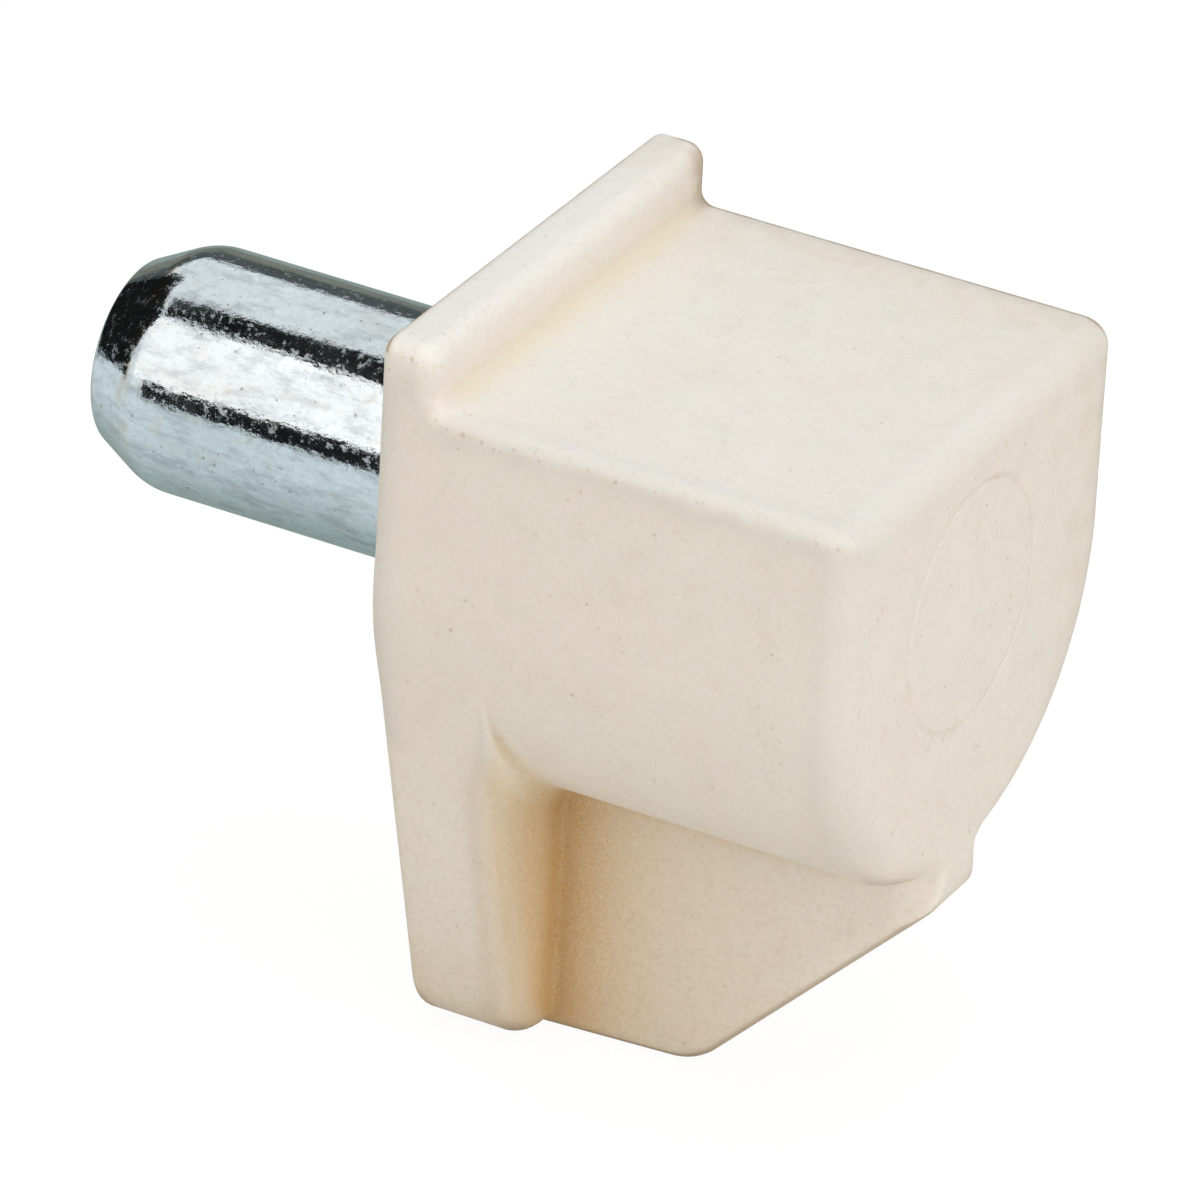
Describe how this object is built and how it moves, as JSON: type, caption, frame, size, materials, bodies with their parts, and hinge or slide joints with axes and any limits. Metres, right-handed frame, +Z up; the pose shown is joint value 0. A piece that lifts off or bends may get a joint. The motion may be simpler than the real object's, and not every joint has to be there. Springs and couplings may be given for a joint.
{
  "type": "shelf support pin",
  "caption": "Shelf support with a straight steel pin and a moulded plastic head: a flat seat for the shelf, a low lip behind it and a web below that props the seat.",
  "frame": {"origin": "where the pin's axis crosses the head's back face, which lies against the cabinet's side", "axes": "+X along the pin's axis from its tip to the head's front face, +Z up, +Y to the side"},
  "size_m": [0.0186, 0.011, 0.0161],
  "materials": {
    "steel": "bright zinc plating, drawn and tumbled",
    "plastic": "satin as moulded, ivory"
  },
  "bodies": {
    "root": {"pin": "steel", "head": "plastic"}
  },
  "joints": []
}
